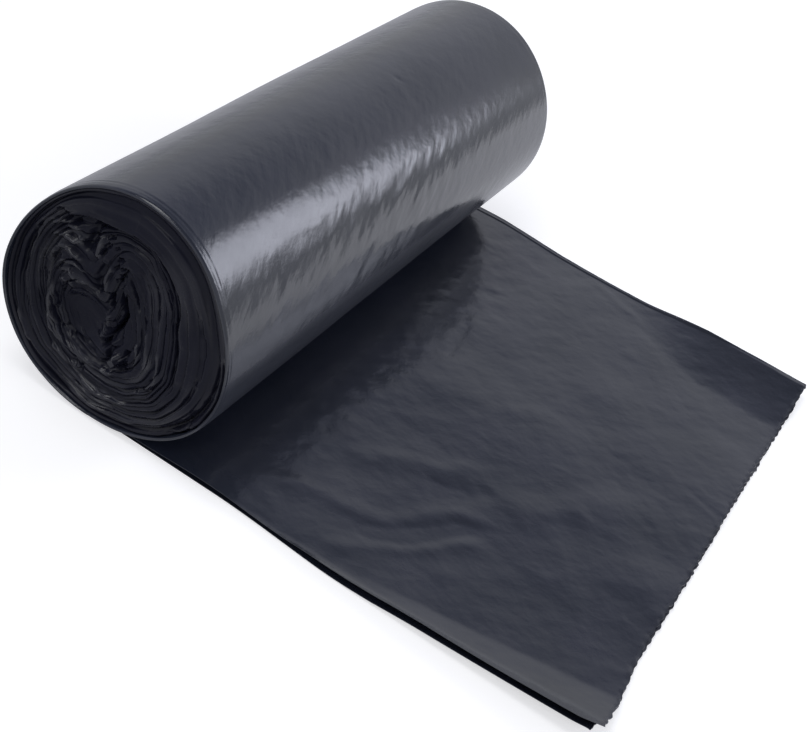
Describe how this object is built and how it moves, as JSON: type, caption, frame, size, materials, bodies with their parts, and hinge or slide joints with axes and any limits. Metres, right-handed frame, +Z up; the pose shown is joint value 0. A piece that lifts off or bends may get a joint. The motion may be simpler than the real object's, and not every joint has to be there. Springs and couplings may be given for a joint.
{
  "type": "bin bag roll",
  "caption": "Coreless roll of folded black plastic bin bags lying on its side, with the free end of the outer bag drawn out flat and ending in a torn perforation.",
  "frame": {"origin": "On the surface the roll lies on, under the roll's axis and at the middle of its width.", "axes": "+Y runs along the roll's axis, +Z points up from the surface, and +X points along the drawn-out bag to its torn edge."},
  "size_m": [0.2341, 0.25, 0.0855],
  "materials": {
    "black_film": "glossy"
  },
  "bodies": {
    "root": {"bag_roll": "black_film"}
  },
  "joints": []
}
